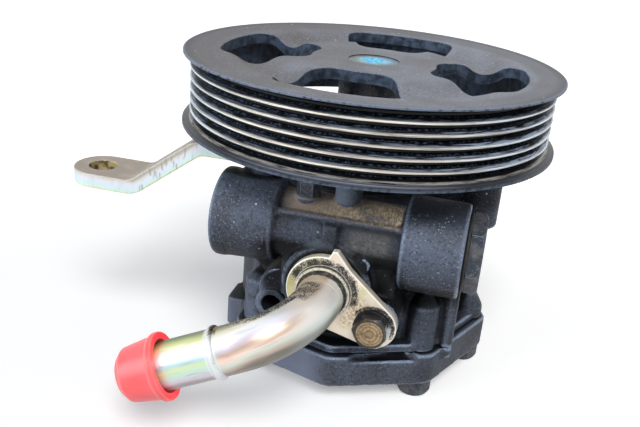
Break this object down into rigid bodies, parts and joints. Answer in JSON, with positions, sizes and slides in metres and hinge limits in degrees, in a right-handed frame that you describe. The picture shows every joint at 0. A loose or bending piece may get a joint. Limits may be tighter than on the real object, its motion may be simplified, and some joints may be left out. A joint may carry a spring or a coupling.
{
  "type": "power steering pump",
  "caption": "Belt-driven vane pump with a grooved, pierced pulley, a cast body with a flow valve, a bent suction pipe with a push-on cap and a bracket arm.",
  "frame": {"origin": "on the shaft axis, in the middle plane of the belt grooves", "axes": "+Z along the shaft towards the pulley's face, +X along the flow valve bore towards its plug, -Y towards the suction flange"},
  "size_m": [0.1576, 0.1549, 0.1051],
  "materials": {
    "pulley_paint": "matte black paint on pressed and turned steel",
    "casting_paint": "satin black paint over a rough casting",
    "fastener_black": "black finished steel",
    "bright_steel": "ground steel",
    "shaft_steel": "heat-tinted steel",
    "bronze": "sintered bronze",
    "zinc_pipe": "bright zinc plating with rainbow tints",
    "zinc_flange": "yellow zinc plating with black grime",
    "zinc_bracket": "satin zinc plating",
    "seal_rubber": "matte",
    "cap_plastic": "soft semi-gloss"
  },
  "bodies": {
    "housing": {"pump_housing": "casting_paint", "bearing_outer_ring": "bright_steel", "bearing_retaining_ring": "bright_steel", "shaft_seal": "seal_rubber", "pressure_plate": "bright_steel", "cam_ring": "bright_steel", "dowel_pins": "bright_steel", "rear_cover": "casting_paint", "rear_bush": "bronze", "cover_seal_ring": "seal_rubber", "cover_bolts": "fastener_black", "valve_spring": "bright_steel", "valve_plug": "fastener_black", "plug_seal_ring": "seal_rubber", "gallery_plug": "fastener_black", "suction_pipe": "zinc_pipe", "suction_flange": "zinc_flange", "suction_seal_ring": "seal_rubber", "suction_bolt": "zinc_flange", "pipe_cap": "cap_plastic", "bracket_arm": "zinc_bracket", "bracket_bolt": "zinc_bracket"},
    "pulley_shaft": {"drive_pulley": "pulley_paint", "pulley_hub": "bright_steel", "drive_shaft": "shaft_steel", "bearing_inner_ring": "bright_steel", "pump_rotor": "bright_steel", "rotor_vanes": "bright_steel", "rotor_snap_ring": "bright_steel"},
    "bearing_cage": {"bearing_balls": "bright_steel", "bearing_cage": "bronze"},
    "valve_spool": {"valve_spool": "bright_steel"}
  },
  "joints": [
    {"name": "pulley_spin", "type": "hinge", "parent": "housing", "child": "pulley_shaft", "pos_m": [0, 0, 0], "axis": [0, 0, 1], "continuous": true},
    {"name": "cage_spin", "type": "hinge", "parent": "housing", "child": "bearing_cage", "pos_m": [0, 0, -0.027], "axis": [0, 0, 1], "continuous": true},
    {"name": "spool_slide", "type": "slide", "parent": "housing", "child": "valve_spool", "axis": [1, 0, 0], "range_m": [0, 0.006], "stiffness_N_per_m": 4000, "springref_m": -0.002, "deforming": ["valve_spring"]}
  ],
  "couplings": [
    {"joint": "cage_spin", "follows": "pulley_spin", "ratio": 0.3825}
  ]
}
